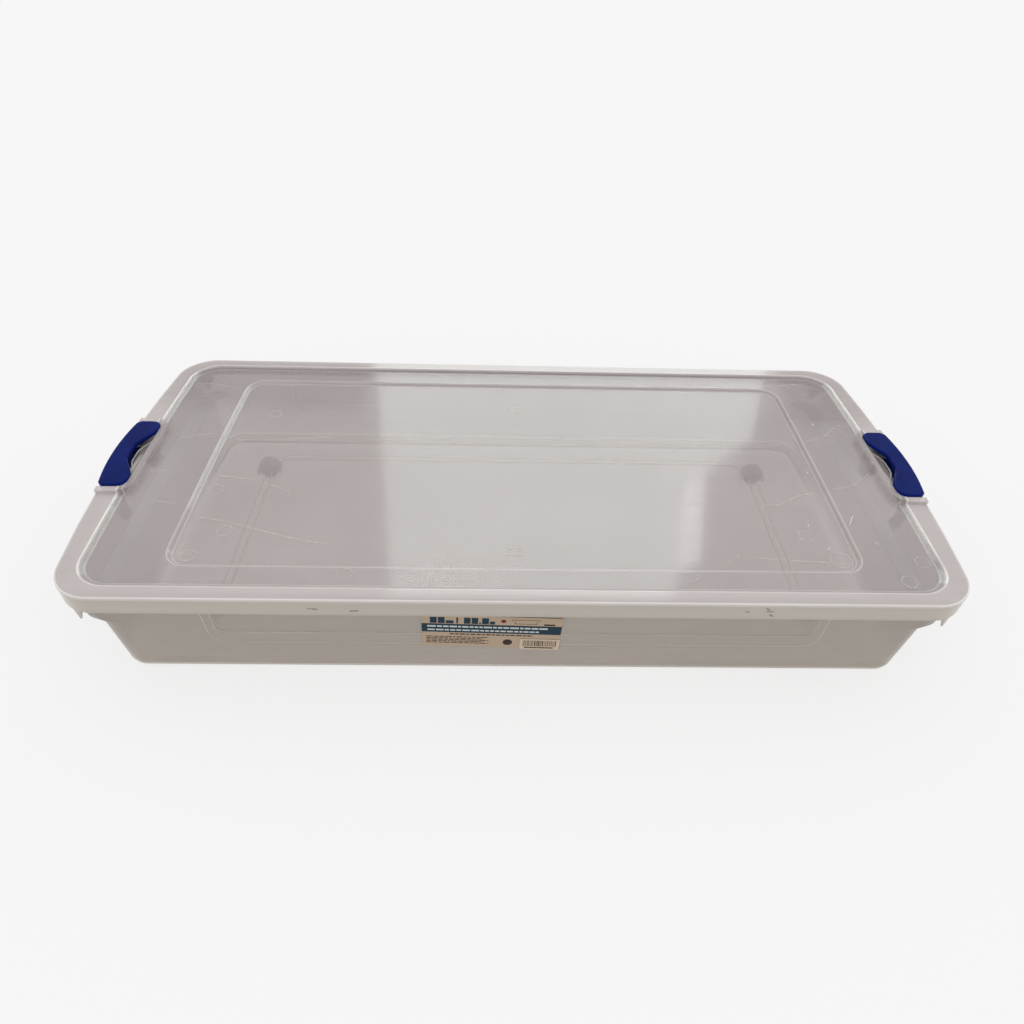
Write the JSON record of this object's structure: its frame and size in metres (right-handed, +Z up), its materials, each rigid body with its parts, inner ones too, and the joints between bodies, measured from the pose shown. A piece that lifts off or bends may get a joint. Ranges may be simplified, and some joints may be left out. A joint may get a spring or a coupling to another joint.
{
  "type": "under bed storage box",
  "caption": "Shallow rolling under-bed storage box: clear tub with a stepped lift-off lid, a flip-up latch at each end and small wheels under the floor.",
  "frame": {"origin": "on the floor under the middle of the box's overall bounding box", "axes": "+X along the box to the right-hand latch, +Y to the far long side (the label is on the -Y side), +Z up"},
  "size_m": [1.0894, 0.508, 0.1625],
  "materials": {
    "clear_tub": "frosted translucent polypropylene",
    "clear_lid": "glossy translucent polypropylene",
    "blue_plastic": "semi-gloss dark blue",
    "axle_steel": "plain steel pin",
    "label_paper": "printed paper label, coated",
    "white_paper": "printed paper sticker"
  },
  "bodies": {
    "tub": {"tub": "clear_tub", "axle_far_left": "axle_steel", "axle_far_right": "axle_steel", "axle_near_left": "axle_steel", "axle_near_right": "axle_steel", "size_label": "label_paper", "barcode_sticker": "white_paper"},
    "lid": {"lid": "clear_lid"},
    "latch_left": {"latch_left": "blue_plastic"},
    "latch_right": {"latch_right": "blue_plastic"},
    "wheel_far_left": {"wheel_far_left": "blue_plastic"},
    "wheel_far_right": {"wheel_far_right": "blue_plastic"},
    "wheel_near_left": {"wheel_near_left": "blue_plastic"},
    "wheel_near_right": {"wheel_near_right": "blue_plastic"}
  },
  "joints": [
    {"name": "lid_lift", "type": "slide", "parent": "tub", "child": "lid", "axis": [0, 0, 1], "range_m": [0, 0.18]},
    {"name": "latch_left_flip", "type": "hinge", "parent": "tub", "child": "latch_left", "pos_m": [-0.5265, 0, 0.1], "axis": [0, -1, 0], "range_deg": [0, 110]},
    {"name": "latch_right_flip", "type": "hinge", "parent": "tub", "child": "latch_right", "pos_m": [0.5265, 0, 0.1], "axis": [0, 1, 0], "range_deg": [0, 110]},
    {"name": "wheel_far_left_roll", "type": "hinge", "parent": "tub", "child": "wheel_far_left", "pos_m": [-0.4005, 0.148, 0.014], "axis": [0, 1, 0], "continuous": true},
    {"name": "wheel_far_right_roll", "type": "hinge", "parent": "tub", "child": "wheel_far_right", "pos_m": [0.4005, 0.148, 0.014], "axis": [0, 1, 0], "continuous": true},
    {"name": "wheel_near_left_roll", "type": "hinge", "parent": "tub", "child": "wheel_near_left", "pos_m": [-0.4005, -0.148, 0.014], "axis": [0, 1, 0], "continuous": true},
    {"name": "wheel_near_right_roll", "type": "hinge", "parent": "tub", "child": "wheel_near_right", "pos_m": [0.4005, -0.148, 0.014], "axis": [0, 1, 0], "continuous": true}
  ]
}
